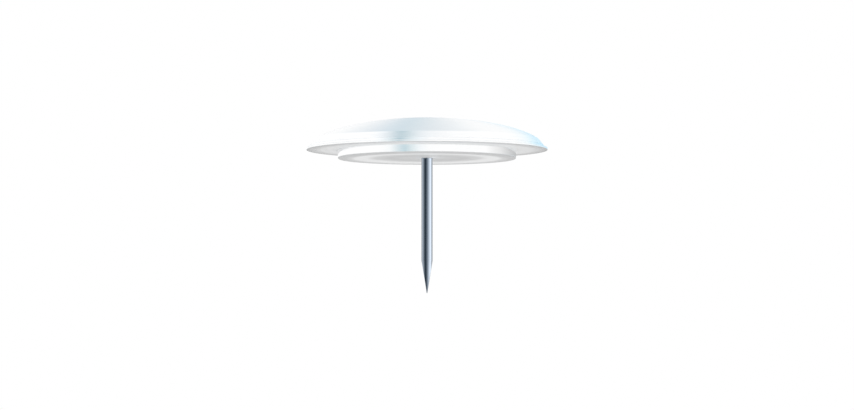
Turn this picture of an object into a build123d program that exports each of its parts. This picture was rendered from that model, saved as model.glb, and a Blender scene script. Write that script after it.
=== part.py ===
from build123d import *
import os
from math import acos, atan2, cos, pi, sin, sqrt

# Domed drawing pin, in millimetres, turned about Z: crown up, point down.
# The origin is on the pin's axis, in the plane of the ring that rests on the board.

# Crown cap, a pressed shell
CAP_SHEET = 0.20  # thickness of the metal
CREASE_RADIUS = 7.40  # where the crown ends and the bevelled band begins
CROWN_RISE = 1.365  # from the crease up to the top of the crown
CROWN_RUN_ON = 0.60  # how far the crown's ellipse would run on past the crease
BEVEL_WIDTH = 0.35  # across the band, measured outwards
BEVEL_HEIGHT = 0.43  # down the band
FOOT_HEIGHT = 0.15  # straight edge under the band, standing on the flange

# Base plate, a pressed flange and collar
BASE_SHEET = 0.15  # thickness of the metal
LIP_WIDTH = 0.25  # how far the flange stands out past the cap's foot
UNDERSIDE_WIDTH = 2.07  # flange from its edge in to the collar's root
COLLAR_DEPTH = 0.58  # from the flange's underside down to the resting ring
COLLAR_DRAFT = 0.03  # how much narrower the drawn collar is at the resting ring than at its root
LAND_WIDTH = 0.80  # the flat ring that rests on the board
DISH_SLOPE_WIDTH = 1.00  # from the resting ring in to the dish's flat
DISH_DEPTH = 0.05  # how far the dish is set up into the floor
FLANGE_EDGE_RADIUS = 0.03  # rounding of the flange's rolled edge
COLLAR_EDGE_RADIUS = 0.07  # rounding of the collar's lower edge

# Pin, a drawn steel wire
PIN_DIAMETER = 0.75
PIN_LENGTH = 8.90  # from the resting ring down to the point
POINT_LENGTH = 2.14  # the cone at the end
POINT_TIP_RADIUS = 0.02  # the blunt left by grinding
PIN_HEAD_RADIUS = 1.50
PIN_HEAD_THICKNESS = 0.35
NECK_FLARE = 0.20  # how much the wire widens inside the floor's hole

# Room left round the neck for assembly
SEAT_GAP = 0.01

# Points along the crown's arc
ARC_STEPS = 12

# Radii that follow
foot_radius = CREASE_RADIUS + BEVEL_WIDTH
flange_radius = foot_radius + LIP_WIDTH
collar_root = flange_radius - UNDERSIDE_WIDTH
collar_radius = collar_root - COLLAR_DRAFT
wall_root = collar_root - BASE_SHEET
wall_radius = collar_radius - BASE_SHEET
dish_radius = collar_radius - LAND_WIDTH
dish_flat_radius = dish_radius - DISH_SLOPE_WIDTH
pin_radius = PIN_DIAMETER / 2
neck_radius = pin_radius + NECK_FLARE

# Heights that follow
floor_height = DISH_DEPTH + BASE_SHEET
head_top = floor_height + PIN_HEAD_THICKNESS
flange_top = COLLAR_DEPTH + BASE_SHEET
band_foot = flange_top + FOOT_HEIGHT
crease_height = band_foot + BEVEL_HEIGHT
crown_top = crease_height + CROWN_RISE


def crown_arc(crease, spread, top):
    """The smooth arc from a crease point up to the axis at a height, along a flat ellipse.

    spread is the ellipse's half width, so the arc leaves the axis level and steepens towards the crease.
    """
    radius, height = crease
    depth = (top - height) / (1 - sqrt(1 - (radius / spread) ** 2))
    start = acos(radius / spread)
    points = []
    for step in range(1, ARC_STEPS):
        angle = start + (pi / 2 - start) * step / ARC_STEPS
        points.append((spread * cos(angle), top - depth + depth * sin(angle)))
    slope = crown_slope(crease, spread, top)
    return Spline(crease, *points, (0, top), tangents=[(-cos(slope), sin(slope)), (-1, 0)])


def crown_slope(crease, spread, top):
    """The angle at which that arc comes down to its crease, in radians below level."""
    radius, height = crease
    flatness = sqrt(1 - (radius / spread) ** 2)
    depth = (top - height) / (1 - flatness)
    return atan2(depth * radius, spread**2 * flatness)


def turned(outline):
    """A solid turned about Z from a closed outline of radius and height."""
    return revolve(Plane.XZ * make_face(outline), Axis.Z)


# The cap's inner skin lies one sheet inside its outer skin, also at the crease and along the band
outer_crease = (CREASE_RADIUS, crease_height)
outer_spread = CREASE_RADIUS + CROWN_RUN_ON
inner_spread = outer_spread - CAP_SHEET
inner_top = crown_top - CAP_SHEET
crown_angle = crown_slope(outer_crease, outer_spread, crown_top)
band_angle = atan2(BEVEL_HEIGHT, BEVEL_WIDTH)
half_fold = (band_angle - crown_angle) / 2
mid_angle = (band_angle + crown_angle) / 2
fold_depth = CAP_SHEET / cos(half_fold)
inner_crease = (
    CREASE_RADIUS - fold_depth * sin(mid_angle),
    crease_height - fold_depth * cos(mid_angle),
)
inner_drop = inner_crease[1] - flange_top
inner_foot_radius = inner_crease[0] + inner_drop * BEVEL_WIDTH / BEVEL_HEIGHT


def crown_cap():
    """The shell: crown, bevelled band and foot, the same thickness all over."""
    outer = Polyline(outer_crease, (foot_radius, band_foot), (foot_radius, flange_top))
    foot = Line((foot_radius, flange_top), (inner_foot_radius, flange_top))
    inner = Line((inner_foot_radius, flange_top), inner_crease)
    middle = Line((0, inner_top), (0, crown_top))
    skins = crown_arc(outer_crease, outer_spread, crown_top) + crown_arc(inner_crease, inner_spread, inner_top)
    return turned(skins + outer + foot + inner + middle)


def base_plate():
    """The flange, collar and dished floor, pressed from one sheet, with the hole for the pin's neck."""
    outline = Polyline(
        (pin_radius + SEAT_GAP, DISH_DEPTH),
        (dish_flat_radius, DISH_DEPTH),
        (dish_radius, 0),
        (collar_radius, 0),
        (collar_root, COLLAR_DEPTH),
        (flange_radius, COLLAR_DEPTH),
        (flange_radius, flange_top),
        (wall_root, flange_top),
        (wall_radius, BASE_SHEET),
        (dish_radius, BASE_SHEET),
        (dish_flat_radius, floor_height),
        (neck_radius + SEAT_GAP, floor_height),
        close=True,
    )
    section = make_face(outline)
    flange_rounding = min(FLANGE_EDGE_RADIUS, 0.45 * BASE_SHEET)
    collar_rounding = min(COLLAR_EDGE_RADIUS, 0.9 * BASE_SHEET)
    for corner, rounding in (
        ((flange_radius, COLLAR_DEPTH), flange_rounding),
        ((flange_radius, flange_top), flange_rounding),
        ((collar_radius, 0), collar_rounding),
    ):
        section = fillet(section.vertices().sort_by_distance(corner)[0], rounding)
    return revolve(Plane.XZ * section, Axis.Z)


def pin():
    """The wire: cone point, straight shank, neck flared into the floor's hole, and flat head on the floor."""
    outline = Polyline(
        (0, -PIN_LENGTH),
        (POINT_TIP_RADIUS, -PIN_LENGTH),
        (pin_radius, POINT_LENGTH - PIN_LENGTH),
        (pin_radius, DISH_DEPTH),
        (neck_radius, floor_height),
        (PIN_HEAD_RADIUS, floor_height),
        (PIN_HEAD_RADIUS, head_top),
        (0, head_top),
        close=True,
    )
    return turned(outline)


def core_fill():
    """The slug cast round the pin's head, filling the collar, the flange's top and the cap."""
    below = Polyline(
        (0, inner_top),
        (0, head_top),
        (PIN_HEAD_RADIUS, head_top),
        (PIN_HEAD_RADIUS, floor_height),
        (dish_flat_radius, floor_height),
        (dish_radius, BASE_SHEET),
        (wall_radius, BASE_SHEET),
        (wall_root, flange_top),
        (inner_foot_radius, flange_top),
        inner_crease,
    )
    return turned(below + crown_arc(inner_crease, inner_spread, inner_top))


os.makedirs("parts", exist_ok=True)
for piece in (crown_cap, base_plate, pin, core_fill):
    export_step(piece(), f"parts/{piece.__name__}.step")
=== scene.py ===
"""A domed drawing pin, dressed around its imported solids: pressed cap, flanged base plate and steel pin."""

import logging
import math
from dataclasses import dataclass, field
from enum import Enum
from typing import Union

import bpy
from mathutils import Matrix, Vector


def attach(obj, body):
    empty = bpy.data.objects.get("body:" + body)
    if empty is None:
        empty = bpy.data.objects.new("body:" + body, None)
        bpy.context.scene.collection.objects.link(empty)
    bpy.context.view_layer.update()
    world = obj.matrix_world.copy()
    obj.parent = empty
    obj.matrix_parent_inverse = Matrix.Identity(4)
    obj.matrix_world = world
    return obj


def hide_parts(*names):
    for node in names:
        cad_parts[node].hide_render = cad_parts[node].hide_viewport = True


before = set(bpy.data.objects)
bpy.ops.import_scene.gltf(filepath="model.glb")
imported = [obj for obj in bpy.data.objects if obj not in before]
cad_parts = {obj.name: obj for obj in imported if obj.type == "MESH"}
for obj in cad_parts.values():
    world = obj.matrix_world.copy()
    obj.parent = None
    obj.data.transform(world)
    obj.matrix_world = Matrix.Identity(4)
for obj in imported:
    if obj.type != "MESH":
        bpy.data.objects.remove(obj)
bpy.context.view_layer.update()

LOG = logging.getLogger("drawing_pin")
MM = 0.001
BODY = "root"

Colour = tuple[float, float, float]
Place = tuple[float, float, float]
Station = tuple[float, float]
Span = tuple[float, float]
Levels = tuple[tuple[float, float], ...]
Tones = tuple[tuple[float, Colour], ...]
Socket = bpy.types.NodeSocket
Feed = Union[float, tuple, Socket]


class Grain(Enum):
    """Which way the fine lines of a finish run."""

    SPUN = "round the axis"
    DRAWN = "along the axis"


# Shapes turned about the pin's axis


@dataclass(frozen=True)
class Corner:
    """A point of a turned outline, in millimetres from the axis and above the seat, and its rounding."""

    radius: float
    height: float
    rounding: float = 0.0


@dataclass
class Outline:
    """The half section of a turned piece, drawn from corner to corner.

    A rounding takes at most its share of the shorter side at its corner.
    """

    corners: list[Corner] = field(default_factory=list)
    step_angle: float = 8.0
    hold: float = 0.03

    LEAST_STEPS = 3
    STRAIGHT = 1e-4
    ROUNDING_SHARE = 0.45
    HOLD_SHARE = 0.2

    def to(self, radius: float, height: float, rounding: float = 0.0) -> None:
        """Adds one corner, a plain point where its rounding is 0."""
        self.corners.append(Corner(radius, height, rounding))

    def stations(self) -> list[Station]:
        """The points of the outline, with arcs at the rounded corners.

        Returns:
            Radius and height pairs in millimetres, in order.
        """
        found: list[Station] = []
        for index, corner in enumerate(self.corners):
            inner = 0 < index < len(self.corners) - 1
            if corner.rounding > 0 and inner:
                found.extend(self._arc(self.corners[index - 1], corner, self.corners[index + 1]))
            else:
                found.append((corner.radius, corner.height))
        return found

    def _arc(self, before: Corner, corner: Corner, after: Corner) -> list[Station]:
        """The arc at one corner, with a holding point on the straight at each end.

        Args:
            before: The corner that the outline comes from.
            corner: The corner to round.
            after: The corner that the outline goes on to.

        Returns:
            The points that take the corner's place.
        """
        middle = Vector((corner.radius, corner.height))
        back = Vector((before.radius, before.height)) - middle
        ahead = Vector((after.radius, after.height)) - middle
        room = self.ROUNDING_SHARE * min(back.length, ahead.length)
        back.normalize()
        ahead.normalize()
        turn = math.pi - back.angle(ahead)
        if turn < self.STRAIGHT:
            return [(corner.radius, corner.height)]
        reach = min(corner.rounding * math.tan(turn / 2), room)
        radius = reach / math.tan(turn / 2)
        centre = middle + (back + ahead).normalized() * (radius / math.cos(turn / 2))
        start = middle + back * reach - centre
        end = middle + ahead * reach - centre
        steps = max(self.LEAST_STEPS, math.ceil(math.degrees(turn) / self.step_angle))
        hold = min(self.hold, self.HOLD_SHARE * room)
        points = [middle + back * (reach + hold)]
        for step in range(steps + 1):
            share = step / steps
            weight_start = math.sin((1 - share) * turn) / math.sin(turn)
            weight_end = math.sin(share * turn) / math.sin(turn)
            points.append(centre + start * weight_start + end * weight_end)
        points.append(middle + ahead * (reach + hold))
        return [(point.x, point.y) for point in points]


class Lathe:
    """Turns outlines into meshes, as a spun chain of vertices."""

    STEPS = 256
    MERGE = 3e-8
    SMOOTH_ANGLE = math.radians(32)

    def turn(self, name: str, stations: list[Station]) -> bpy.types.Object:
        """Turns one piece.

        Args:
            name: Name of the new object.
            stations: Points of the half section, in millimetres.

        Returns:
            The object, with its place in its mesh.
        """
        deselect_all()
        # A triangle merged into one vertex starts the chain
        bpy.ops.mesh.primitive_circle_add(vertices=3, radius=MM, location=(0, 0, 0))
        piece = bpy.context.object
        piece.name = name
        piece.data.name = name
        bpy.ops.object.mode_set(mode="EDIT")
        bpy.ops.mesh.select_all(action="SELECT")
        bpy.ops.mesh.merge(type="CENTER")
        place = (stations[0][0] * MM, 0.0, stations[0][1] * MM)
        bpy.ops.transform.translate(value=place)
        for before, after in zip(stations, stations[1:]):
            step = ((after[0] - before[0]) * MM, 0.0, (after[1] - before[1]) * MM)
            bpy.ops.mesh.extrude_vertices_move(TRANSFORM_OT_translate={"value": step})
        bpy.ops.mesh.select_all(action="SELECT")
        bpy.ops.mesh.spin(steps=self.STEPS, angle=2 * math.pi, center=(0, 0, 0), axis=(0, 0, 1))
        bpy.ops.mesh.select_all(action="SELECT")
        bpy.ops.mesh.remove_doubles(threshold=self.MERGE)
        bpy.ops.mesh.normals_make_consistent(inside=False)
        bpy.ops.object.mode_set(mode="OBJECT")
        bpy.ops.object.shade_smooth_by_angle(angle=self.SMOOTH_ANGLE)
        return piece


def deselect_all() -> None:
    """Leaves nothing selected."""
    bpy.ops.object.select_all(action="DESELECT")


# Node trees


class Board:
    """A node tree that is being laid out."""

    # Where a Mix node keeps its colour sockets
    MIX_FIRST, MIX_SECOND, MIX_RESULT = 6, 7, 2

    def __init__(self, tree: bpy.types.NodeTree) -> None:
        """Takes a tree and clears it."""
        self.tree = tree
        tree.nodes.clear()

    def add(self, kind: str, **settings: object) -> bpy.types.Node:
        """Adds a node.

        Args:
            kind: Blender's name of the node type.
            **settings: Properties to set on it.

        Returns:
            The new node.
        """
        node = self.tree.nodes.new(kind)
        for key, value in settings.items():
            setattr(node, key, value)
        return node

    def feed(self, socket: Socket, value: Feed) -> None:
        """Links a socket to another one, or sets its own value.

        Args:
            socket: The input to fill.
            value: An output to link, or a plain value.
        """
        if isinstance(value, Socket):
            self.tree.links.new(value, socket)
        else:
            socket.default_value = value

    def close(self, shader: Socket, kind: str = "ShaderNodeOutputMaterial") -> None:
        """Ends the tree with a shader, in an output node of the kind."""
        self.feed(self.add(kind).inputs["Surface"], shader)

    def math(self, operation: str, *values: Feed) -> Socket:
        """A Math node's result.

        Args:
            operation: Blender's name of the operation.
            *values: Its inputs, in order.

        Returns:
            The output socket.
        """
        node = self.add("ShaderNodeMath", operation=operation)
        for socket, value in zip(node.inputs, values):
            self.feed(socket, value)
        return node.outputs[0]

    def length(self, first: Socket, second: Socket) -> Socket:
        """The length of a flat step, from its two sides at right angles."""
        square = self.math("MULTIPLY", second, second)
        return self.math("SQRT", self.math("MULTIPLY_ADD", first, first, square))

    def remap(
        self, value: Feed, low: Feed, high: Feed, start: float, end: float, kind: str = "SMOOTHSTEP"
    ) -> Socket:
        """A value moved from one range to another.

        Args:
            value: What is remapped.
            low: Value at which the result is start.
            high: Value at which the result is end.
            start: Result at low and below.
            end: Result at high and above.
            kind: Blender's name of the interpolation.

        Returns:
            The output socket.
        """
        node = self.add("ShaderNodeMapRange", interpolation_type=kind)
        for socket, item in zip(node.inputs, (value, low, high, start, end)):
            self.feed(socket, item)
        return node.outputs[0]

    def mix(self, factor: Feed, first: Feed, second: Feed, mode: str = "MIX") -> Socket:
        """Two colours mixed.

        Args:
            factor: How much of the second colour is used.
            first: The colour below.
            second: The colour above.
            mode: Blender's name of the blending mode.

        Returns:
            The output socket.
        """
        node = self.add("ShaderNodeMix", data_type="RGBA", blend_type=mode)
        self.feed(node.inputs[0], factor)
        self.feed(node.inputs[self.MIX_FIRST], rgba(first))
        self.feed(node.inputs[self.MIX_SECOND], rgba(second))
        return node.outputs[self.MIX_RESULT]

    def along(self, place: Feed, tones: Tones, kind: str = "LINEAR") -> Socket:
        """A colour that changes along a scale.

        Args:
            place: Place on the scale.
            tones: Places and their colours, in order.
            kind: Blender's name of the interpolation.

        Returns:
            The output socket.
        """
        low, high = tones[0][0], tones[-1][0]
        node = self.add("ShaderNodeValToRGB")
        bar = node.color_ramp
        bar.interpolation = kind
        while len(bar.elements) < len(tones):
            bar.elements.new(1.0)
        for element, (spot, colour) in zip(bar.elements, tones):
            element.position = (spot - low) / (high - low)
            element.color = rgba(colour)
        self.feed(node.inputs[0], self.math("DIVIDE", self.math("SUBTRACT", place, low), high - low))
        return node.outputs[0]

    def group(self, tree: bpy.types.NodeTree, **values: Feed) -> bpy.types.Node:
        """Places a shared effect.

        Args:
            tree: The effect's node group.
            **values: Its inputs by name, with _ for a space.

        Returns:
            The group node.
        """
        node = self.add("ShaderNodeGroup", node_tree=tree)
        for key, value in values.items():
            self.feed(node.inputs[key.replace("_", " ")], value)
        return node


def rgba(value: Feed) -> Feed:
    """A colour of three numbers with its alpha added; anything else as it is.

    Args:
        value: A colour, number or socket.

    Returns:
        The value to feed to a colour socket.
    """
    if isinstance(value, tuple) and len(value) == 3:
        return (*value, 1.0)
    return value


def grey(level: float) -> Colour:
    """A neutral colour of one level."""
    return (level, level, level)


def new_material(name: str) -> tuple[bpy.types.Material, Board]:
    """Starts a material.

    Args:
        name: The material's name.

    Returns:
        The material, and the empty board of its nodes.
    """
    made = bpy.data.materials.new(name)
    made.use_nodes = True
    return made, Board(made.node_tree)


class Effects:
    """The node groups that several materials and the studio share, each built once."""

    LINE_DETAIL = 3.0
    LINE_ROUGHNESS = 0.6
    SCRATCH_TURNS = (0.4, 1.7, 2.6)
    SCRATCH_STRETCH = 0.12
    SCRATCH_WIDTH = 0.02
    BREAKS_PER_SCRATCH = 1.7
    BREAK_RANGE = (0.6, 0.72)
    SMUDGE_DETAIL = 4.0
    SMUDGE_SWIRL = 0.6
    SMUDGE_RANGE = (0.4, 0.7)

    def __init__(self) -> None:
        """Builds the groups."""
        self.axis_place = self._axis_place()
        self.soft_band = self._soft_band()
        self.fine_lines = self._fine_lines()
        self.handling = self._handling()

    @staticmethod
    def _start(name: str, inputs: dict[str, str], outputs: dict[str, str]) -> tuple[Board, dict, dict]:
        """Opens a new group.

        Args:
            name: The group's name.
            inputs: Socket kinds by input name.
            outputs: Socket kinds by output name.

        Returns:
            The board, the inputs as sockets to link from, and the outputs as sockets to link to.
        """
        tree = bpy.data.node_groups.new(name, "ShaderNodeTree")
        for title, kind in inputs.items():
            tree.interface.new_socket(name=title, in_out="INPUT", socket_type=f"NodeSocket{kind}")
        for title, kind in outputs.items():
            tree.interface.new_socket(name=title, in_out="OUTPUT", socket_type=f"NodeSocket{kind}")
        board = Board(tree)
        entry = board.add("NodeGroupInput")
        leave = board.add("NodeGroupOutput")
        ins = {title: entry.outputs[title] for title in inputs}
        outs = {title: leave.inputs[title] for title in outputs}
        return board, ins, outs

    def _axis_place(self) -> bpy.types.NodeTree:
        """Where a point lies round the pin's axis: radius and height in millimetres, and turn from 0 to 1.

        Returns:
            The group.
        """
        board, ins, outs = self._start(
            "axis_place", {"Point": "Vector"}, {"Radius": "Float", "Height": "Float", "Turn": "Float"}
        )
        split = board.add("ShaderNodeSeparateXYZ")
        board.feed(split.inputs[0], ins["Point"])
        right, ahead, up = split.outputs
        turn = board.math("ARCTAN2", ahead, right)
        board.feed(outs["Radius"], board.math("MULTIPLY", board.length(right, ahead), 1 / MM))
        board.feed(outs["Height"], board.math("MULTIPLY", up, 1 / MM))
        board.feed(outs["Turn"], board.math("MULTIPLY_ADD", turn, 0.5 / math.pi, 0.5))
        return board.tree

    def _soft_band(self) -> bpy.types.NodeTree:
        """A mask that is 1 within a half width of a centre and falls to 0 over a soft edge.

        Returns:
            The group.
        """
        board, ins, outs = self._start(
            "soft_band",
            {"Value": "Float", "Centre": "Float", "Half Width": "Float", "Edge": "Float"},
            {"Mask": "Float"},
        )
        away = board.math("ABSOLUTE", board.math("SUBTRACT", ins["Value"], ins["Centre"]))
        outer = board.math("ADD", ins["Half Width"], ins["Edge"])
        board.feed(outs["Mask"], board.remap(away, ins["Half Width"], outer, 1.0, 0.0))
        return board.tree

    def _fine_lines(self) -> bpy.types.NodeTree:
        """Fine parallel lines that change strongly across their run and slowly along it.

        Returns:
            The group.
        """
        board, ins, outs = self._start(
            "fine_lines",
            {"Across": "Float", "Along": "Float", "Spacing": "Float", "Length": "Float"},
            {"Lines": "Float"},
        )
        join = board.add("ShaderNodeCombineXYZ")
        board.feed(join.inputs[0], board.math("DIVIDE", ins["Across"], ins["Spacing"]))
        board.feed(join.inputs[1], board.math("DIVIDE", ins["Along"], ins["Length"]))
        noise = board.add("ShaderNodeTexNoise", noise_dimensions="2D")
        board.feed(noise.inputs["Vector"], join.outputs[0])
        noise.inputs["Scale"].default_value = 1.0
        noise.inputs["Detail"].default_value = self.LINE_DETAIL
        noise.inputs["Roughness"].default_value = self.LINE_ROUGHNESS
        board.feed(outs["Lines"], noise.outputs[0])
        return board.tree

    def _handling(self) -> bpy.types.NodeTree:
        """Hairline scratches and soft finger smudges.

        Returns:
            The group.
        """
        board, ins, outs = self._start(
            "handling_marks",
            {"Point": "Vector", "Scratch Size": "Float", "Smudge Size": "Float"},
            {"Scratches": "Float", "Smudge": "Float"},
        )
        cell_scale = board.math("DIVIDE", 1 / MM, ins["Scratch Size"])
        break_scale = board.math("DIVIDE", self.BREAKS_PER_SCRATCH / MM, ins["Scratch Size"])
        scratches: Feed = 0.0
        for turn in self.SCRATCH_TURNS:
            lay = board.add("ShaderNodeMapping")
            board.feed(lay.inputs["Vector"], ins["Point"])
            lay.inputs["Rotation"].default_value = (0.0, 0.0, turn)
            lay.inputs["Scale"].default_value = (1.0, self.SCRATCH_STRETCH, 1.0)
            cells = board.add("ShaderNodeTexVoronoi", feature="DISTANCE_TO_EDGE")
            board.feed(cells.inputs["Vector"], lay.outputs[0])
            board.feed(cells.inputs["Scale"], cell_scale)
            line = board.remap(cells.outputs["Distance"], 0.0, self.SCRATCH_WIDTH, 1.0, 0.0)
            broken = board.add("ShaderNodeTexNoise")
            board.feed(broken.inputs["Vector"], lay.outputs[0])
            board.feed(broken.inputs["Scale"], break_scale)
            kept = board.remap(broken.outputs[0], *self.BREAK_RANGE, 0.0, 1.0)
            scratches = board.math("MAXIMUM", scratches, board.math("MULTIPLY", line, kept))
        board.feed(outs["Scratches"], scratches)
        smudge = board.add("ShaderNodeTexNoise")
        board.feed(smudge.inputs["Vector"], ins["Point"])
        board.feed(smudge.inputs["Scale"], board.math("DIVIDE", 1 / MM, ins["Smudge Size"]))
        smudge.inputs["Detail"].default_value = self.SMUDGE_DETAIL
        smudge.inputs["Distortion"].default_value = self.SMUDGE_SWIRL
        board.feed(outs["Smudge"], board.remap(smudge.outputs[0], *self.SMUDGE_RANGE, 0.0, 1.0))
        return board.tree


# Finishes


@dataclass(frozen=True)
class MetalFinish:
    """A metal finish with fine lines, handling marks and tones that change in rings or along the piece.

    tones, rough_tones and metal_tones give shares of the colour, the roughness and the metal at distances in
    millimetres. The shares of the colour are painted shade and painted highlight. For drawn lines these are
    heights. For spun ones they run out from the axis, and each millimetre of height counts as many as climb
    says, so that an upright wall has a stretch of its own.
    """

    name: str
    colour: Colour
    metallic: float
    roughness: float
    grain: Grain
    line_spacing: float
    line_length: float
    line_depth: float = 0.0003
    tones: Levels = ()
    rough_tones: Levels = ()
    metal_tones: Levels = ()
    climb: float = 0.0
    worn_rings: tuple[tuple[float, float, float], ...] = ()
    wear: float = 0.0
    smudge: float = 0.012
    scratch: float = 0.02

    SCRATCH_SIZE = 2.6
    SCRATCH_DEPTH = 0.1
    SMUDGE_SIZE = 2.2
    SMUDGE_DULLING = 0.8
    LINE_DULLING = 0.08
    LINES_ROUND = 40.0
    LINES_UP_WALLS = 1.7
    WEAR_POLISH = 0.25
    WEAR_SMUDGES = (0.0, 0.8)
    WEAR_LEFT = (1.0, 0.35)

    def material(self, effects: Effects) -> bpy.types.Material:
        """Builds the finish.

        Args:
            effects: The shared node groups.

        Returns:
            The material.
        """
        made, board = new_material(self.name)
        point = board.add("ShaderNodeTexCoord").outputs["Object"]
        place = board.group(effects.axis_place, Point=point)
        radius, height, turn = (place.outputs[name] for name in ("Radius", "Height", "Turn"))
        spun = self.grain is Grain.SPUN
        along = board.math("MULTIPLY_ADD", height, self.climb, radius) if spun else height
        lines = self._lines(board, effects, radius, height, turn)
        marks = board.group(
            effects.handling, Point=point, Scratch_Size=self.SCRATCH_SIZE, Smudge_Size=self.SMUDGE_SIZE
        )
        scratches, smudge = marks.outputs["Scratches"], marks.outputs["Smudge"]
        dull = board.math("MULTIPLY_ADD", smudge, -self.smudge, 1.0)
        colour = board.mix(1.0, self.colour, dull, "MULTIPLY")
        # The colour's tones multiply in painted shade and a painted highlight, in rings round the axis
        if self.tones:
            colour = board.mix(1.0, colour, self._shares(board, along, self.tones), "MULTIPLY")
        rough = self._level(board, along, self.roughness, self.rough_tones)
        rough = board.math("MULTIPLY_ADD", smudge, self.SMUDGE_DULLING * self.smudge, rough)
        rough = board.math("MULTIPLY_ADD", lines, self.LINE_DULLING * self.roughness, rough)
        rough = board.math("MULTIPLY_ADD", scratches, self.scratch, rough)
        for centre, half, edge in self.worn_rings:
            band = board.group(effects.soft_band, Value=radius, Centre=centre, Half_Width=half, Edge=edge)
            bare = board.remap(smudge, *self.WEAR_SMUDGES, *self.WEAR_LEFT)
            patchy = board.math("MULTIPLY", band.outputs[0], bare)
            colour = board.mix(board.math("MULTIPLY", patchy, self.wear), colour, grey(1.0))
            rough = board.math("MULTIPLY_ADD", patchy, -self.WEAR_POLISH * self.roughness, rough)
        bump = board.add("ShaderNodeBump")
        bump.inputs["Strength"].default_value = 1.0
        bump.inputs["Distance"].default_value = self.line_depth * MM
        board.feed(bump.inputs["Height"], board.math("MULTIPLY_ADD", scratches, -self.SCRATCH_DEPTH, lines))
        shader = board.add("ShaderNodeBsdfPrincipled")
        board.feed(shader.inputs["Base Color"], colour)
        board.feed(shader.inputs["Metallic"], self._level(board, along, self.metallic, self.metal_tones))
        board.feed(shader.inputs["Roughness"], rough)
        board.feed(shader.inputs["Normal"], bump.outputs[0])
        board.close(shader.outputs[0])
        return made

    def _lines(self, board: Board, effects: Effects, radius: Socket, height: Socket, turn: Socket) -> Socket:
        """The finish's fine lines.

        Args:
            board: The material's board.
            effects: The shared node groups.
            radius: Distance from the axis.
            height: Height along the axis.
            turn: Angle round the axis, from 0 to 1.

        Returns:
            The lines' height, from 0 to 1.
        """
        circle = board.math("MULTIPLY", turn, self.LINES_ROUND)
        if self.grain is Grain.SPUN:
            across, along = board.math("MULTIPLY_ADD", height, self.LINES_UP_WALLS, radius), circle
        else:
            across, along = circle, height
        node = board.group(
            effects.fine_lines,
            Across=across,
            Along=along,
            Spacing=self.line_spacing,
            Length=self.line_length,
        )
        return node.outputs[0]

    @staticmethod
    def _shares(board: Board, along: Socket, levels: Levels) -> Socket:
        """Shares that change softly along the piece, as a grey."""
        return board.along(along, tuple((spot, grey(share)) for spot, share in levels), "EASE")

    def _level(self, board: Board, along: Socket, base: float, levels: Levels) -> Feed:
        """A value of the finish, times its shares along the piece where it has any.

        Args:
            board: The material's board.
            along: Place along the piece, in millimetres.
            base: The value.
            levels: Places and shares, in order, or nothing.

        Returns:
            The value as it is, or the socket that it changes at.
        """
        if not levels:
            return base
        return board.math("MULTIPLY", self._shares(board, along, levels), base)


@dataclass(frozen=True)
class ResinFinish:
    """The cast slug's dull resin, slightly cloudy."""

    name: str = "cast_resin"
    colour: Colour = (0.74, 0.70, 0.62)
    cloud: Colour = (0.62, 0.58, 0.50)
    cloud_size: float = 1.2
    cloud_dulling: float = 0.15
    roughness: float = 0.6

    def material(self, effects: Effects) -> bpy.types.Material:
        """Builds the finish.

        Args:
            effects: The shared node groups.

        Returns:
            The material.
        """
        made, board = new_material(self.name)
        point = board.add("ShaderNodeTexCoord").outputs["Object"]
        marks = board.group(effects.handling, Point=point, Smudge_Size=self.cloud_size)
        clouds = marks.outputs["Smudge"]
        shader = board.add("ShaderNodeBsdfPrincipled")
        board.feed(shader.inputs["Base Color"], board.mix(clouds, self.colour, self.cloud))
        rough = board.math("MULTIPLY_ADD", clouds, self.cloud_dulling, self.roughness)
        board.feed(shader.inputs["Roughness"], rough)
        board.close(shader.outputs[0])
        return made


# Satin over the crown and band, then a polished foot
CAP_FINISH = MetalFinish(
    name="satin_plate_cap",
    colour=(0.965, 0.97, 0.975),
    metallic=0.8,
    roughness=0.2,
    grain=Grain.SPUN,
    line_spacing=0.15,
    line_length=9.0,
    climb=-1.0,
    rough_tones=((-2.7, 1.0), (6.83, 1.0), (6.89, 0.5), (7.03, 0.5)),
    metal_tones=((-2.7, 1.0), (6.83, 1.0), (6.89, 1.25), (7.03, 1.25)),
    worn_rings=((7.40, 0.04, 0.1), (7.75, 0.03, 0.08)),
    wear=0.5,
)

# Dull over the dish and the resting ring, polished up the collar's wall, then satin out to a polished edge.
# The colour's tones are painted shade in rings: darker over the dish and the resting ring, a painted
# highlight ring between them, and darker towards the flange's rim
BASE_FINISH = MetalFinish(
    name="satin_plate_base_painted_shade",
    colour=(0.965, 0.968, 0.97),
    metallic=0.8,
    roughness=0.2,
    grain=Grain.SPUN,
    line_spacing=0.15,
    line_length=7.0,
    climb=2.0,
    # Painted shade and a painted highlight ring, multiplied into the colour by radius
    tones=(
        (0.4, 0.80), (1.6, 0.73), (2.5, 0.68), (3.4, 0.77), (4.3, 0.99), (4.74, 0.99),
        (5.12, 0.77), (5.5, 0.685), (6.04, 0.66), (6.13, 1.0), (7.48, 1.0), (7.96, 0.96),
        (8.6, 0.88), (8.9, 0.80), (9.14, 0.60), (9.21, 1.0), (9.46, 1.0),
    ),
    rough_tones=(
        (0.4, 3.0), (6.04, 3.0), (6.13, 0.5), (7.03, 0.5), (7.1, 2.5),
        (8.1, 2.4), (8.6, 1.9), (9.14, 1.9), (9.21, 0.5),
    ),
    metal_tones=(
        (0.4, 0.15), (6.04, 0.2), (6.13, 1.25), (7.03, 1.25), (7.1, 0.25),
        (8.1, 0.3), (8.6, 0.72), (9.14, 0.72), (9.21, 1.0),
    ),
    worn_rings=((8.0, 0.01, 0.03),),
    wear=0.4,
)

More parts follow.
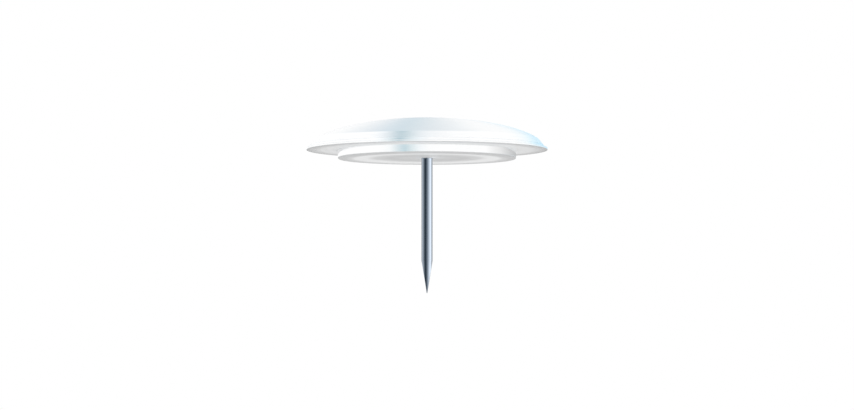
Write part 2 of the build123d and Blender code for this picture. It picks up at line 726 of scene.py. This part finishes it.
# A little rougher where the point is ground
PIN_FINISH = MetalFinish(
    name="polished_pin_steel",
    colour=(0.40, 0.43, 0.47),
    metallic=1.0,
    roughness=0.14,
    grain=Grain.DRAWN,
    line_spacing=0.6,
    line_length=6.0,
    rough_tones=((-8.9, 1.1), (-6.9, 1.0), (0.6, 1.0)),
    smudge=0.01,
)


# The pieces


@dataclass
class TurnedPiece:
    """A piece that is turned from its outline and stands for a CAD node. Sizes are in millimetres."""

    name: str
    node: str
    slot: str
    finish: MetalFinish

    def outline(self) -> Outline:
        """The piece's half section, which each piece draws for itself."""
        raise NotImplementedError

    def build(self, lathe: Lathe, effects: Effects) -> bpy.types.Object:
        """Turns and dresses the piece, and gives it its place in the frame.

        Args:
            lathe: The lathe that turns it.
            effects: The shared node groups.

        Returns:
            The finished piece.
        """
        piece = lathe.turn(self.name, self.outline().stations())
        piece.data.materials.append(self.finish.material(effects))
        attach(piece, BODY)
        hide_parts(self.node)
        return piece


@dataclass
class CrownCap(TurnedPiece):
    """The pressed shell: crown, crease, bevelled band and foot."""

    name: str = "cap_shell"
    node: str = "crown_cap"
    slot: str = "satin_plate"
    finish: MetalFinish = CAP_FINISH
    sheet: float = 0.20
    crease_radius: float = 7.40
    crown_rise: float = 1.365
    crown_run_on: float = 0.60
    bevel_width: float = 0.35
    bevel_height: float = 0.43
    foot_height: float = 0.15
    foot_level: float = 0.73
    crease_rounding: float = 0.25
    shoulder_rounding: float = 0.03
    foot_rounding: float = 0.02
    crown_steps: int = 44
    inner_stride: int = 2

    @property
    def foot_radius(self) -> float:
        """Radius of the straight foot."""
        return self.crease_radius + self.bevel_width

    @property
    def crease_height(self) -> float:
        """Height of the crease above the seat."""
        return self.foot_level + self.foot_height + self.bevel_height

    @property
    def top(self) -> float:
        """Height of the crown's top."""
        return self.crease_height + self.crown_rise

    @property
    def spread(self) -> float:
        """Half width of the flat ellipse that the crown follows."""
        return self.crease_radius + self.crown_run_on

    @property
    def flatness(self) -> float:
        """Height of that ellipse as a share of its half width."""
        return self.crown_rise / (1 - math.sqrt(1 - (self.crease_radius / self.spread) ** 2)) / self.spread

    def _skin(self, crease: Station, spread: float, top: float) -> list[Station]:
        """Points of a crown skin, from its top on the axis towards its crease.

        Args:
            crease: Radius and height of the crease, which isn't among the points.
            spread: Half width of the flat ellipse that the skin follows.
            top: Height of the skin on the axis.

        Returns:
            The points, in order.
        """
        radius, height = crease
        depth = (top - height) / (1 - math.sqrt(1 - (radius / spread) ** 2))
        last = math.acos(radius / spread)
        points = []
        for step in range(self.crown_steps):
            angle = math.pi / 2 + (last - math.pi / 2) * step / self.crown_steps
            points.append((spread * math.cos(angle), top - depth + depth * math.sin(angle)))
        points[0] = (0.0, top)
        return points

    def _inner_crease(self) -> Station:
        """The inner skin's crease, one sheet inside the outer one.

        Returns:
            Its radius and height.
        """
        share = self.crease_radius / self.spread
        crown_angle = math.atan2(self.flatness * share, math.sqrt(1 - share**2))
        band_angle = math.atan2(self.bevel_height, self.bevel_width)
        middle = (crown_angle + band_angle) / 2
        reach = self.sheet / math.cos((band_angle - crown_angle) / 2)
        return self.crease_radius - reach * math.sin(middle), self.crease_height - reach * math.cos(middle)

    def outline(self) -> Outline:
        """The shell's half section, from the inner skin's top to the outer skin's top.

        Returns:
            The outline.
        """
        crease = (self.crease_radius, self.crease_height)
        inner = self._inner_crease()
        drop = inner[1] - self.foot_level
        inner_foot = inner[0] + drop * self.bevel_width / self.bevel_height
        line = Outline()
        inner_skin = self._skin(inner, self.spread - self.sheet, self.top - self.sheet)
        for radius, height in inner_skin[:: self.inner_stride]:
            line.to(radius, height)
        line.to(*inner)
        line.to(inner_foot, self.foot_level)
        line.to(self.foot_radius, self.foot_level, self.foot_rounding)
        line.to(self.foot_radius, self.foot_level + self.foot_height, self.shoulder_rounding)
        line.to(*crease, self.crease_rounding)
        for radius, height in reversed(self._skin(crease, self.spread, self.top)):
            line.to(radius, height)
        return line


@dataclass
class BasePlate(TurnedPiece):
    """The pressed plate: flange, collar and dished floor with the pin's hole."""

    name: str = "base_pressing"
    node: str = "base_plate"
    slot: str = "satin_plate"
    finish: MetalFinish = BASE_FINISH
    sheet: float = 0.15
    flange_radius: float = 8.0
    collar_root: float = 5.93
    collar_draft: float = 0.03
    collar_depth: float = 0.58
    land_width: float = 0.80
    dish_slope_width: float = 1.0
    dish_depth: float = 0.05
    hole_radius: float = 0.377
    hole_flare: float = 0.20
    flange_rounding: float = 0.03
    collar_rounding: float = 0.07
    root_rounding: float = 0.02
    dish_rounding: float = 4.0

    def outline(self) -> Outline:
        """The plate's half section, once round from the hole's lower edge.

        Returns:
            The outline.
        """
        top = self.collar_depth + self.sheet
        floor = self.dish_depth + self.sheet
        collar = self.collar_root - self.collar_draft
        dish = collar - self.land_width
        flat = dish - self.dish_slope_width
        line = Outline()
        line.to(self.hole_radius, self.dish_depth)
        line.to(flat, self.dish_depth, self.dish_rounding)
        line.to(dish, 0.0, self.dish_rounding)
        line.to(collar, 0.0, self.collar_rounding)
        line.to(self.collar_root, self.collar_depth, self.root_rounding)
        line.to(self.flange_radius, self.collar_depth, self.flange_rounding)
        line.to(self.flange_radius, top, self.flange_rounding)
        line.to(self.collar_root - self.sheet, top)
        line.to(collar - self.sheet, self.sheet)
        line.to(dish, self.sheet)
        line.to(flat, floor)
        line.to(self.hole_radius + self.hole_flare, floor)
        line.to(self.hole_radius, self.dish_depth)
        return line


@dataclass
class PinWire(TurnedPiece):
    """The steel wire: cone point, shank, neck and upset head."""

    name: str = "pin_wire"
    node: str = "pin"
    slot: str = "pin_steel"
    finish: MetalFinish = PIN_FINISH
    radius: float = 0.375
    length: float = 8.90
    point_length: float = 2.14
    point_rounding: float = 0.5
    tip_radius: float = 0.02
    tip_rounding: float = 0.016
    neck_bottom: float = 0.05
    neck_top: float = 0.20
    neck_flare: float = 0.20
    head_radius: float = 1.50
    head_thickness: float = 0.35
    head_rounding: float = 0.08

    def outline(self) -> Outline:
        """The wire's half section, from its point to the top of its head.

        Returns:
            The outline.
        """
        head = self.neck_top + self.head_thickness
        line = Outline()
        line.to(0.0, -self.length)
        line.to(self.tip_radius, -self.length, self.tip_rounding)
        line.to(self.radius, self.point_length - self.length, self.point_rounding)
        line.to(self.radius, self.neck_bottom)
        line.to(self.radius + self.neck_flare, self.neck_top)
        line.to(self.head_radius, self.neck_top, self.head_rounding)
        line.to(self.head_radius, head, self.head_rounding)
        line.to(0.0, head)
        return line


@dataclass
class CoreFill:
    """The cast slug inside the cap, which stays as the CAD made it."""

    node: str = "core_fill"
    finish: ResinFinish = ResinFinish()

    def build(self, effects: Effects) -> bpy.types.Object:
        """Dresses the slug.

        Args:
            effects: The shared node groups.

        Returns:
            The CAD node's object.
        """
        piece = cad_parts[self.node]
        piece.data.materials.clear()
        piece.data.materials.append(self.finish.material(effects))
        return piece


# The studio


@dataclass(frozen=True)
class Streaks:
    """Tones along one scale of the studio, and the stretch of a second scale that they fill.

    tones gives places on the first scale and their colours. middle, half and edge give the stretch.
    """

    tones: Tones
    middle: float
    half: float
    edge: float

    def colour(self, board: Board, place: Socket) -> Socket:
        """The tone at a place on the first scale."""
        return board.along(place, self.tones)

    def mask(self, board: Board, effects: Effects, level: Socket) -> Socket:
        """How much of the streaks shows at a place on the second scale.

        Args:
            board: The board to lay nodes on.
            effects: The shared node groups.
            level: Place on the second scale.

        Returns:
            The mask, from 0 to 1.
        """
        band = board.group(
            effects.soft_band, Value=level, Centre=self.middle, Half_Width=self.half, Edge=self.edge
        )
        return band.outputs[0]


# The studio's tones are laid out by the surface that mirrors each of them to the camera: its slope in
# degrees, from 0 for level and facing up, by 90 for upright, to 180 for level and facing down, and its place
# across the crown in millimetres, or its turn in degrees from the camera's side

CROWN_STREAKS = Streaks(
    tones=(
        (-8.0, grey(1.0)),
        (-5.2, grey(1.0)),
        (-4.44, (0.90, 0.925, 0.94)),
        (-3.1, (0.745, 0.80, 0.85)),
        (-2.45, (0.64, 0.745, 0.81)),
        (-1.7, (0.535, 0.665, 0.745)),
        (-0.9, (0.605, 0.715, 0.775)),
        (0.2, (0.72, 0.785, 0.825)),
        (1.53, (0.82, 0.86, 0.89)),
        (2.85, (0.955, 0.97, 0.975)),
        (3.6, grey(1.0)),
        (8.0, grey(1.0)),
    ),
    middle=16.0,
    half=27.0,
    edge=4.0,
)

BAND_STREAKS = Streaks(
    tones=(
        (-8.0, grey(1.04)),
        (-3.7, grey(1.04)),
        (-3.1, (0.93, 0.97, 1.0)),
        (-2.45, (0.67, 0.76, 0.81)),
        (-1.78, (0.28, 0.46, 0.54)),
        (-1.13, (0.57, 0.69, 0.74)),
        (-0.46, (0.82, 0.88, 0.92)),
        (0.2, (0.92, 0.95, 0.97)),
        (1.0, (0.98, 0.99, 1.0)),
        (2.2, grey(1.04)),
        (8.0, grey(1.04)),
    ),
    middle=51.0,
    half=7.0,
    edge=6.0,
)

FOOT_STREAKS = Streaks(
    tones=(
        (-8.0, grey(1.05)),
        (-3.6, grey(1.05)),
        (-3.1, (0.98, 1.01, 1.03)),
        (-2.5, (0.76, 0.85, 0.88)),
        (-1.85, (0.46, 0.60, 0.66)),
        (-1.3, (0.66, 0.77, 0.81)),
        (-0.5, (0.90, 0.96, 0.99)),
        (0.28, grey(1.03)),
        (8.0, grey(1.05)),
    ),
    middle=90.0,
    half=1.2,
    edge=1.8,
)

COLLAR_STREAKS = Streaks(
    tones=(
        (-8.0, grey(1.05)),
        (-4.0, grey(1.05)),
        (-3.32, (1.0, 1.02, 1.03)),
        (-2.5, (0.70, 0.80, 0.84)),
        (-2.0, (0.55, 0.70, 0.76)),
        (-1.45, (0.72, 0.82, 0.85)),
        (-0.63, (0.95, 0.99, 1.01)),
        (0.28, grey(1.04)),
        (1.4, grey(1.05)),
        (5.2, grey(1.05)),
        (5.7, grey(0.95)),
        (6.5, grey(0.84)),
        (7.3, grey(0.66)),
        (8.0, grey(0.50)),
    ),
    middle=93.0,
    half=1.0,
    edge=1.2,
)

# By turn, over a stretch of the place across
SIDE_STREAKS = Streaks(
    tones=(
        (48.0, grey(1.0)),
        (58.0, (0.90, 0.97, 1.0)),
        (64.0, (0.74, 0.92, 1.0)),
        (71.0, (0.60, 0.84, 0.98)),
        (95.0, (0.60, 0.84, 0.98)),
        (120.0, grey(1.0)),
    ),
    middle=9.0,
    half=4.0,
    edge=2.5,
)

# Between those, by slope alone
SURROUND_TONES: Tones = (
    (0.0, grey(1.0)),
    (58.0, grey(1.0)),
    (66.0, (0.84, 0.89, 0.92)),
    (74.0, (0.68, 0.76, 0.81)),
    (80.0, (0.66, 0.74, 0.79)),
    (85.5, (0.70, 0.77, 0.82)),
    (88.0, grey(0.92)),
    (95.0, grey(0.97)),
    (97.0, (0.74, 0.79, 0.82)),
    (99.5, (0.54, 0.61, 0.65)),
    (120.0, (0.60, 0.64, 0.67)),
    (140.0, grey(0.70)),
    (155.0, grey(0.62)),
    (170.0, grey(0.44)),
    (180.0, grey(0.34)),
)

# Round the pin, by the place across it: -1 and 1 at its edges
PIN_TONES: Tones = (
    (-0.98, grey(0.46)),
    (-0.905, (0.68, 0.71, 0.74)),
    (-0.80, (1.02, 1.08, 1.14)),
    (-0.62, (0.48, 0.53, 0.58)),
    (-0.44, (0.115, 0.155, 0.185)),
    (-0.34, (0.05, 0.075, 0.10)),
    (-0.26, (0.03, 0.05, 0.07)),
    (-0.18, (0.07, 0.10, 0.13)),
    (0.0, (0.28, 0.33, 0.38)),
    (0.10, (0.43, 0.49, 0.55)),
    (0.28, (0.92, 1.0, 1.08)),
    (0.635, (2.20, 2.30, 2.40)),
    (0.81, (0.98, 1.0, 1.02)),
    (0.915, grey(0.72)),
    (1.0, grey(0.70)),
)

# Round its back, which the camera doesn't see, by the sine of the turn
PIN_BACK_TONES: Tones = (
    (-0.96, grey(0.70)),
    (-0.86, (0.95, 0.99, 1.03)),
    (-0.70, (2.0, 2.1, 2.2)),
    (-0.52, (1.5, 1.58, 1.67)),
    (-0.30, (0.80, 0.86, 0.92)),
    (-0.10, (0.45, 0.51, 0.56)),
    (0.10, (0.24, 0.29, 0.33)),
    (0.30, (0.06, 0.085, 0.11)),
    (0.45, (0.04, 0.06, 0.08)),
    (0.60, (0.22, 0.26, 0.30)),
    (0.76, (0.60, 0.64, 0.68)),
    (0.88, (0.95, 0.98, 1.0)),
    (0.96, grey(0.70)),
)


@dataclass
class PinReflector:
    """A toned tube round the pin, which only the metal's reflections see. Lengths are in millimetres.

    Its tones lie by their place across the wire. Down the wire's point they spread, so that each keeps its
    place as the wire narrows. back_turn gives the cosines of the turn between which the back takes over.
    """

    name: str = "pin_reflector"
    radius: float = 0.55
    low: float = -9.5
    high: float = 0.045
    point_lag: float = 0.08
    back_turn: Span = (-0.5, -0.3)
    wire: PinWire = field(default_factory=PinWire)

    def stand(self, lathe: Lathe) -> None:
        """Stands the tube in place.

        Args:
            lathe: The lathe that turns it.
        """
        tube = lathe.turn(self.name, [(self.radius, self.low), (self.radius, self.high)])
        tube.data.materials.append(self._material())
        tube.visible_camera = False
        tube.visible_diffuse = False
        tube.visible_shadow = False
        tube.visible_transmission = False

    def _material(self) -> bpy.types.Material:
        """The tube's glow.

        Returns:
            The material.
        """
        made, board = new_material(self.name)
        split = board.add("ShaderNodeSeparateXYZ")
        board.feed(split.inputs[0], board.add("ShaderNodeTexCoord").outputs["Object"])
        right, ahead, up = split.outputs
        turn = board.math("ARCTAN2", right, board.math("MULTIPLY", ahead, -1.0))
        height = board.math("MULTIPLY", up, 1 / MM)
        front = board.along(self._across(board, turn, height), PIN_TONES)
        back = board.along(board.math("SINE", turn), PIN_BACK_TONES)
        behind = board.remap(board.math("COSINE", turn), *self.back_turn, 1.0, 0.0)
        shader = board.add("ShaderNodeEmission")
        board.feed(shader.inputs["Color"], board.mix(behind, front, back))
        board.close(shader.outputs[0])
        return made

    def _across(self, board: Board, turn: Socket, height: Socket) -> Socket:
        """The place across the wire that mirrors a spot of the tube to the camera.

        Args:
            board: The board to lay nodes on.
            turn: The spot's angle from the camera's side, in radians.
            height: Its height above the seat.

        Returns:
            The place, -1 and 1 at the wire's edges.
        """
        closeness = self.wire.radius / self.radius
        edge_turn = math.pi - math.asin(closeness)
        start = 1 / (2 - closeness)
        bend = (math.pi / 2 - start * edge_turn) / edge_turn**3
        square = board.math("MULTIPLY", turn, turn)
        facing = board.math("MULTIPLY", turn, board.math("MULTIPLY_ADD", square, bend, start))
        tip = -self.wire.length - self.point_lag
        narrow = self.wire.tip_radius / self.wire.radius
        cone = board.remap(height, tip, tip + self.wire.point_length, narrow, 1.0, "LINEAR")
        return board.math("MULTIPLY", board.math("SINE", facing), cone)


@dataclass
class Studio:
    """Camera, floor and the soft surroundings that the metal reflects. Lengths are in millimetres.

    The crown's streaks reach further out on its steeper slopes, by crown_reach over crown_slopes. The side's
    streaks gain strength by side_strength over side_slopes, and end over side_end.
    """

    lens: float = 135.0
    sensor: float = 36.0
    camera_place: Place = (0.0, -212.0, -14.53)
    camera_aim: Place = (0.0, 0.0, -3.06)
    camera_near: float = 10.0
    camera_far: float = 100000.0
    head_middle: Place = (0.0, 0.0, 0.8)
    floor_level: float = -35.0
    floor_radius: float = 90.0
    floor_sides: int = 96
    floor_fade: Span = (45.0, 86.0)
    floor_colour: Colour = grey(0.84)
    lamp_place: Place = (-20.0, -30.0, 160.0)
    lamp_size: float = 60.0
    lamp_power: float = 0.02
    crown_slopes: Span = (10.0, 36.0)
    crown_reach: Span = (1.1, 0.82)
    side_slopes: Span = (20.0, 42.0)
    side_strength: Span = (0.65, 1.0)
    side_end: Span = (90.0, 92.5)
    cap: CrownCap = field(default_factory=CrownCap)

    LEAST_REACH = 1e-6

    def camera(self) -> None:
        """Sets up the camera at the photograph's angle."""
        deselect_all()
        place = Vector(self.camera_place) * MM
        bpy.ops.object.camera_add(location=place)
        camera = bpy.context.object
        camera.name = "studio_camera"
        camera.data.lens = self.lens
        camera.data.sensor_width = self.sensor
        camera.data.clip_start = self.camera_near * MM
        camera.data.clip_end = self.camera_far * MM
        camera.rotation_mode = "QUATERNION"
        camera.rotation_quaternion = (Vector(self.camera_aim) * MM - place).to_track_quat("-Z", "Y")
        bpy.context.scene.camera = camera

    def floor(self, effects: Effects) -> None:
        """Lays the pale floor, which fades out at its edge and is open from below.

        Args:
            effects: The shared node groups.
        """
        deselect_all()
        bpy.ops.mesh.primitive_circle_add(
            vertices=self.floor_sides, radius=self.floor_radius * MM, fill_type="NGON", location=(0, 0, 0)
        )
        floor = bpy.context.object
        floor.name = "studio_floor"
        bpy.ops.object.mode_set(mode="EDIT")
        bpy.ops.mesh.select_all(action="SELECT")
        bpy.ops.transform.translate(value=(0, 0, self.floor_level * MM))
        bpy.ops.object.mode_set(mode="OBJECT")
        made, board = new_material("pale_floor")
        point = board.add("ShaderNodeTexCoord").outputs["Object"]
        radius = board.group(effects.axis_place, Point=point).outputs["Radius"]
        fade = board.remap(radius, *self.floor_fade, 0.0, 1.0)
        under = board.add("ShaderNodeNewGeometry").outputs["Backfacing"]
        shader = board.add("ShaderNodeBsdfDiffuse")
        shader.inputs["Color"].default_value = rgba(self.floor_colour)
        clear = board.add("ShaderNodeBsdfTransparent")
        mix = board.add("ShaderNodeMixShader")
        board.feed(mix.inputs[0], board.math("MAXIMUM", fade, under))
        board.feed(mix.inputs[1], shader.outputs[0])
        board.feed(mix.inputs[2], clear.outputs[0])
        board.close(mix.outputs[0])
        floor.data.materials.append(made)

    def lamp(self) -> None:
        """Hangs one soft lamp above, which gives the floor its shadow."""
        deselect_all()
        bpy.ops.object.light_add(type="AREA", location=Vector(self.lamp_place) * MM)
        lamp = bpy.context.object
        lamp.name = "soft_lamp"
        lamp.data.energy = self.lamp_power
        lamp.data.shape = "DISK"
        lamp.data.size = self.lamp_size * MM
        lamp.rotation_mode = "QUATERNION"
        lamp.rotation_quaternion = (-lamp.location).to_track_quat("-Z", "Y")
        lamp.visible_glossy = False

    def surroundings(self, effects: Effects) -> None:
        """Builds the world: white all round, with soft streaks that only reflections see.

        Args:
            effects: The shared node groups.
        """
        world = bpy.data.worlds.new("soft_studio")
        bpy.context.scene.world = world
        world.use_nodes = True
        board = Board(world.node_tree)
        slope, turn, across = self._mirror_scales(board)
        colour = board.along(slope, SURROUND_TONES)
        crown = board.math("MULTIPLY", across, board.remap(slope, *self.crown_slopes, *self.crown_reach))
        for streaks, place in (
            (CROWN_STREAKS, crown),
            (BAND_STREAKS, across),
            (FOOT_STREAKS, across),
            (COLLAR_STREAKS, across),
        ):
            colour = board.mix(streaks.mask(board, effects, slope), colour, streaks.colour(board, place))
        strength = board.remap(slope, *self.side_slopes, *self.side_strength)
        strength = board.math("MULTIPLY", strength, board.remap(slope, *self.side_end, 1.0, 0.0))
        beside = board.math("MULTIPLY", SIDE_STREAKS.mask(board, effects, across), strength)
        colour = board.mix(beside, colour, SIDE_STREAKS.colour(board, turn), "MULTIPLY")
        mirrored = board.add("ShaderNodeLightPath").outputs["Is Glossy Ray"]
        shade = board.add("ShaderNodeBackground")
        board.feed(shade.inputs["Color"], board.mix(mirrored, grey(1.0), colour))
        board.close(shade.outputs[0], "ShaderNodeOutputWorld")

    def _mirror_scales(self, board: Board) -> tuple[Socket, Socket, Socket]:
        """How the surface lies that mirrors a direction of the world to the camera.

        Args:
            board: The world's board.

        Returns:
            Its slope and its turn in degrees, and its place across the crown in millimetres.
        """
        split = board.add("ShaderNodeSeparateXYZ")
        board.feed(split.inputs[0], board.add("ShaderNodeTexCoord").outputs["Generated"])
        right, ahead, up = split.outputs
        sight = (Vector(self.head_middle) - Vector(self.camera_place)).normalized()
        toward = board.math("SUBTRACT", sight.y, ahead)
        lift = board.math("SUBTRACT", up, sight.z)
        tilt = board.length(toward, right)
        slope = board.math("DEGREES", board.math("ARCTAN2", tilt, lift))
        turn = board.math("DEGREES", board.math("ARCTAN2", right, toward))
        reach = board.length(tilt, board.math("MULTIPLY", lift, self.cap.flatness))
        share = board.math("DIVIDE", right, board.math("MAXIMUM", reach, self.LEAST_REACH))
        return slope, turn, board.math("MULTIPLY", share, self.cap.spread)


def main() -> None:
    """Builds the part and its studio."""
    logging.basicConfig(level=logging.INFO, format="%(name)s: %(message)s")
    bpy.context.scene.view_settings.view_transform = "Standard"
    lathe = Lathe()
    effects = Effects()
    pieces = [
        CrownCap().build(lathe, effects),
        BasePlate().build(lathe, effects),
        PinWire().build(lathe, effects),
        CoreFill().build(effects),
    ]
    for piece in pieces:
        LOG.info("%s has %d faces", piece.name, len(piece.data.polygons))
    studio = Studio()
    studio.camera()
    studio.floor(effects)
    studio.lamp()
    PinReflector().stand(lathe)
    studio.surroundings(effects)


if __name__ == "__main__":
    main()
